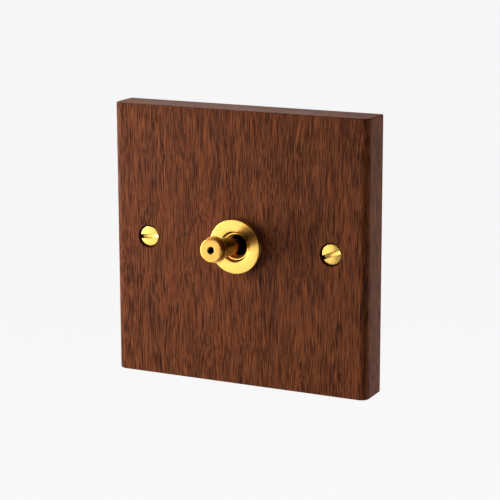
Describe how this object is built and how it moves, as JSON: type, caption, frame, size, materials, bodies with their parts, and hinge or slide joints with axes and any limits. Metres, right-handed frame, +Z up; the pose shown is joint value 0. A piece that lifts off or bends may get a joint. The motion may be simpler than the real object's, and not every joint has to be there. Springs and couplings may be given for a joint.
{
  "type": "toggle wall switch",
  "caption": "Square hardwood plate switch with a tilting brass lever in a round collar, slotted brass fixing screws and a change-over mechanism behind.",
  "frame": {"origin": "in the wall plane (the plate's back), midway between the two fixing screws and on the lever's centre line", "axes": "+X to the right seen from the room, +Y into the wall box, +Z up; the lever points to -Y"},
  "size_m": [0.0834, 0.0598, 0.0836],
  "materials": {
    "hardwood": "satin oiled, dark red-brown, vertical grain",
    "polished_brass": "polished, unlacquered",
    "lever_brass": "turned and polished, slightly aged",
    "terminal_brass": "machined, not polished",
    "zinc_steel": "zinc plated",
    "contact_silver": "silver contact alloy",
    "moulded_case": "black phenolic moulding",
    "nylon": "natural nylon"
  },
  "bodies": {
    "plate": {"wood_plate": "hardwood", "collar_ring": "polished_brass", "collar_washer": "polished_brass", "threaded_bush": "polished_brass", "pivot_pin": "zinc_steel", "fixing_screw_left": "polished_brass", "fixing_screw_right": "polished_brass", "star_washer": "zinc_steel", "hex_nut": "terminal_brass", "support_plate": "zinc_steel", "plate_screw_1": "zinc_steel", "plate_screw_2": "zinc_steel", "plate_screw_3": "zinc_steel", "plate_screw_4": "zinc_steel", "earth_terminal": "terminal_brass", "earth_screw": "zinc_steel", "housing_body": "moulded_case", "housing_base": "moulded_case", "housing_screw_1": "zinc_steel", "housing_screw_2": "zinc_steel", "common_terminal": "terminal_brass", "upper_terminal": "terminal_brass", "lower_terminal": "terminal_brass", "fixed_contact_upper": "contact_silver", "fixed_contact_lower": "contact_silver", "common_screw": "zinc_steel", "upper_screw": "zinc_steel", "lower_screw": "zinc_steel"},
    "lever": {"lever_shank": "lever_brass", "lever_cap": "lever_brass", "actuator_cup": "nylon", "plunger_spring": "zinc_steel"},
    "plunger": {"plunger": "nylon"},
    "rocker": {"rocker": "terminal_brass", "rocker_contact_upper": "contact_silver", "rocker_contact_lower": "contact_silver"}
  },
  "joints": [
    {"name": "lever_hinge", "type": "hinge", "parent": "plate", "child": "lever", "pos_m": [0, -0.0075, 0], "axis": [1, 0, 0], "range_deg": [0, 10.8]},
    {"name": "plunger_slide", "type": "slide", "parent": "lever", "child": "plunger", "axis": [0, -0.9956, 0.0941], "range_m": [0, 0.0008], "stiffness_N_per_m": 250, "deforming": ["plunger_spring"]},
    {"name": "rocker_hinge", "type": "hinge", "parent": "plate", "child": "rocker", "pos_m": [0, 0.0162, 0], "axis": [1, 0, 0], "range_deg": [-16, 0]}
  ],
  "couplings": [
    {"joint": "rocker_hinge", "follows": "lever_hinge", "ratio": -1.48}
  ]
}
